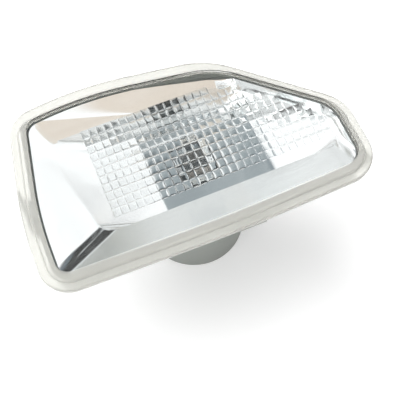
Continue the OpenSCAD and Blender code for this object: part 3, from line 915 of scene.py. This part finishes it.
def set_cards():
    """The cards that gloss and glass show. A card nearer the lamp hides the ones behind it."""
    # Cool grey for the bowl and the pillows
    card("flag_above", towards=(-0.02, 0.38, 0.92), distance=0.6, width=0.46, height=0.46,
         material=glow("grey_flag", "#859097", "#b2babd", soft=0.12))
    card("flag_near", towards=(0.2, 0.46, 0.87), distance=0.2, width=0.056, height=0.034,
         material=glow("slate_flag", "#5c666c", "#707a80", soft=0.35), aim=NEAR_AIM)
    # The dark streak in the trim's lower left corner
    card("flag_crease", towards=(0.425, 0.67, 0.61), distance=1.06, width=0.20, height=0.78,
         material=glow("brown_flag", "#1a1613", "#1a1613", soft=0.2), turn=-16.6)
    card("flag_below", towards=(0.22, 0.64, 0.74), distance=0.58, width=0.30, height=0.21,
         material=glow("beige_flag", "#2e2a26", "#2e2a26", soft=0.25))
    # The pale lower trim, greyer at its left end
    card("card_low", towards=(0.15, 0.83, 0.53), distance=1.12, width=1.0, height=0.40,
         material=glow("pale_card", "#f0f2f1", "#f6f8f8", soft=0.1))
    card("card_low_left", towards=(-0.04, 0.83, 0.55), distance=1.10, width=0.33, height=0.28,
         material=glow("grey_card", "#b9bab6", "#c6c7c2", soft=0.4))
    # Warm tones for the upper trim, and the bowl's right wing
    card("card_warm", towards=(0.06, -0.50, 0.86), distance=0.6, width=0.8, height=0.60,
         material=glow("warm_card", "#f3e2d2", "#fff6ea", soft=0.1))
    card("card_wing", towards=(-0.75, 0.05, 0.66), distance=0.6, width=0.5, height=0.4,
         material=glow("wing_card", "#d8dcde", "#f4f6f6", soft=0.4))


def set_camera(scene):
    """Puts the camera where its place and axes say."""
    data = bpy.data.cameras.new("camera")
    data.lens = CAMERA_FOCAL
    data.sensor_width = CAMERA_SENSOR
    data.clip_start = 0.005
    camera = bpy.data.objects.new("camera", data)
    turn = Matrix((CAMERA_RIGHT, CAMERA_UP, CAMERA_BACK)).transposed()
    camera.matrix_world = Matrix.Translation(Vector(CAMERA_PLACE) * MM) @ turn.to_4x4()
    bpy.context.collection.objects.link(camera)
    scene.camera = camera


class REPEATER_OT_stage(bpy.types.Operator):
    """Set up the floor, the lights, the cards and the camera"""

    bl_idname = "repeater.stage"
    bl_label = "Stage"

    def execute(self, context):
        s = lamp(context).stage
        w = FLOOR_HALF
        floor = ((-w, -w, 0), (w, -w, 0), (w, w, 0), (-w, w, 0))
        sheet("floor", floor, paper_floor(s.floor_colour))
        context.scene.world = studio_world(s)
        area_light("key", (-0.28, 0.36, 0.95), s.key_power, through_glass=False)
        area_light("fill", (-0.8, -0.5, 0.45), s.fill_power, through_glass=True)
        set_cards()
        set_camera(context.scene)
        context.scene.view_settings.view_transform = "Standard"
        return {"FINISHED"}


class REPEATER_PT_panel(bpy.types.Panel):
    """The lamp's pieces"""

    bl_idname = "REPEATER_PT_panel"
    bl_label = "Side Repeater Lamp"
    bl_space_type = "VIEW_3D"
    bl_region_type = "UI"
    bl_category = "Repeater"

    def draw(self, context):
        for operator in OPERATORS:
            self.layout.operator(operator.bl_idname)


class RepeaterLamp(bpy.types.PropertyGroup):
    """All of the lamp's sizes and colours."""

    rim: PointerProperty(name="Rim", description="The rim's outline", type=RimSizes)
    lens: PointerProperty(name="Lens", description="The lens and its pillows", type=LensSizes)
    reflector: PointerProperty(name="Reflector", description="The reflector", type=ReflectorSizes)
    stage: PointerProperty(name="Stage", description="Floor, lights and world", type=StageLook)


OPERATORS = (
    REPEATER_OT_stage, REPEATER_OT_lens, REPEATER_OT_pillows, REPEATER_OT_reflector,
    REPEATER_OT_housing, REPEATER_OT_clip, REPEATER_OT_holder, REPEATER_OT_bulb,
)
GROUPS = (RimSizes, LensSizes, ReflectorSizes, StageLook, RepeaterLamp)
CLASSES = GROUPS + OPERATORS + (REPEATER_PT_panel,)


def register():
    for c in CLASSES:
        bpy.utils.register_class(c)
    bpy.types.Scene.repeater_lamp = PointerProperty(
        name="Lamp", description="The lamp", type=RepeaterLamp)


def unregister():
    del bpy.types.Scene.repeater_lamp
    for c in reversed(CLASSES):
        bpy.utils.unregister_class(c)


def main():
    register()
    bpy.ops.repeater.stage()
    bpy.ops.repeater.lens()
    bpy.ops.repeater.pillows()
    bpy.ops.repeater.reflector()
    bpy.ops.repeater.housing()
    bpy.ops.repeater.clip()
    bpy.ops.repeater.holder()
    bpy.ops.repeater.bulb()


if __name__ == "__main__":
    main()
